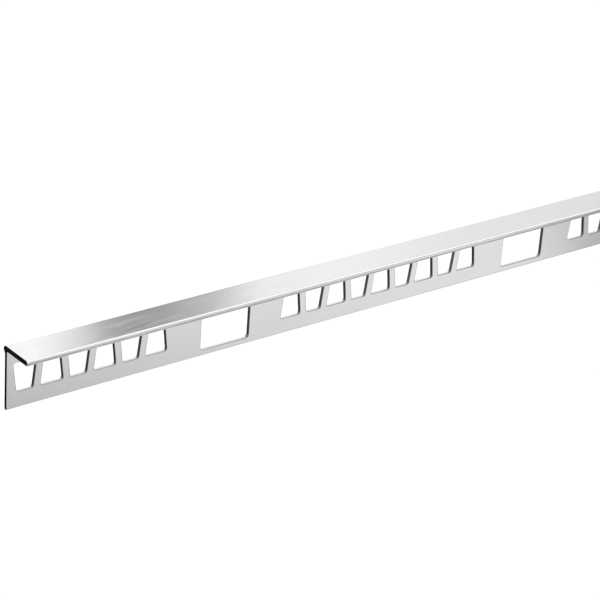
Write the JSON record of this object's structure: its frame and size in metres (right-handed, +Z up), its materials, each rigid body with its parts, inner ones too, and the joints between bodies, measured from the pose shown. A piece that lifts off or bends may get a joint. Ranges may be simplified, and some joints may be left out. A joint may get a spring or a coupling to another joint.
{
  "type": "tile edge trim",
  "caption": "Straight aluminium edge trim for tiles: an L section with a plain face leg and a punched flange that keys into adhesive.",
  "frame": {"origin": "middle of the part's box in plan, at the underside of the nose that it lies on", "axes": "+X along the length, away from the end where the punching starts; +Y from the flange's free edge to the leg's outer face; +Z up, from the flange to the leg's free end"},
  "size_m": [1.83, 0.016, 0.01],
  "materials": {
    "trim_metal": "bright drawn aluminium, satin, with faint die lines along its length and plain square-cut ends"
  },
  "bodies": {
    "root": {"edge_trim": "trim_metal"}
  },
  "joints": []
}
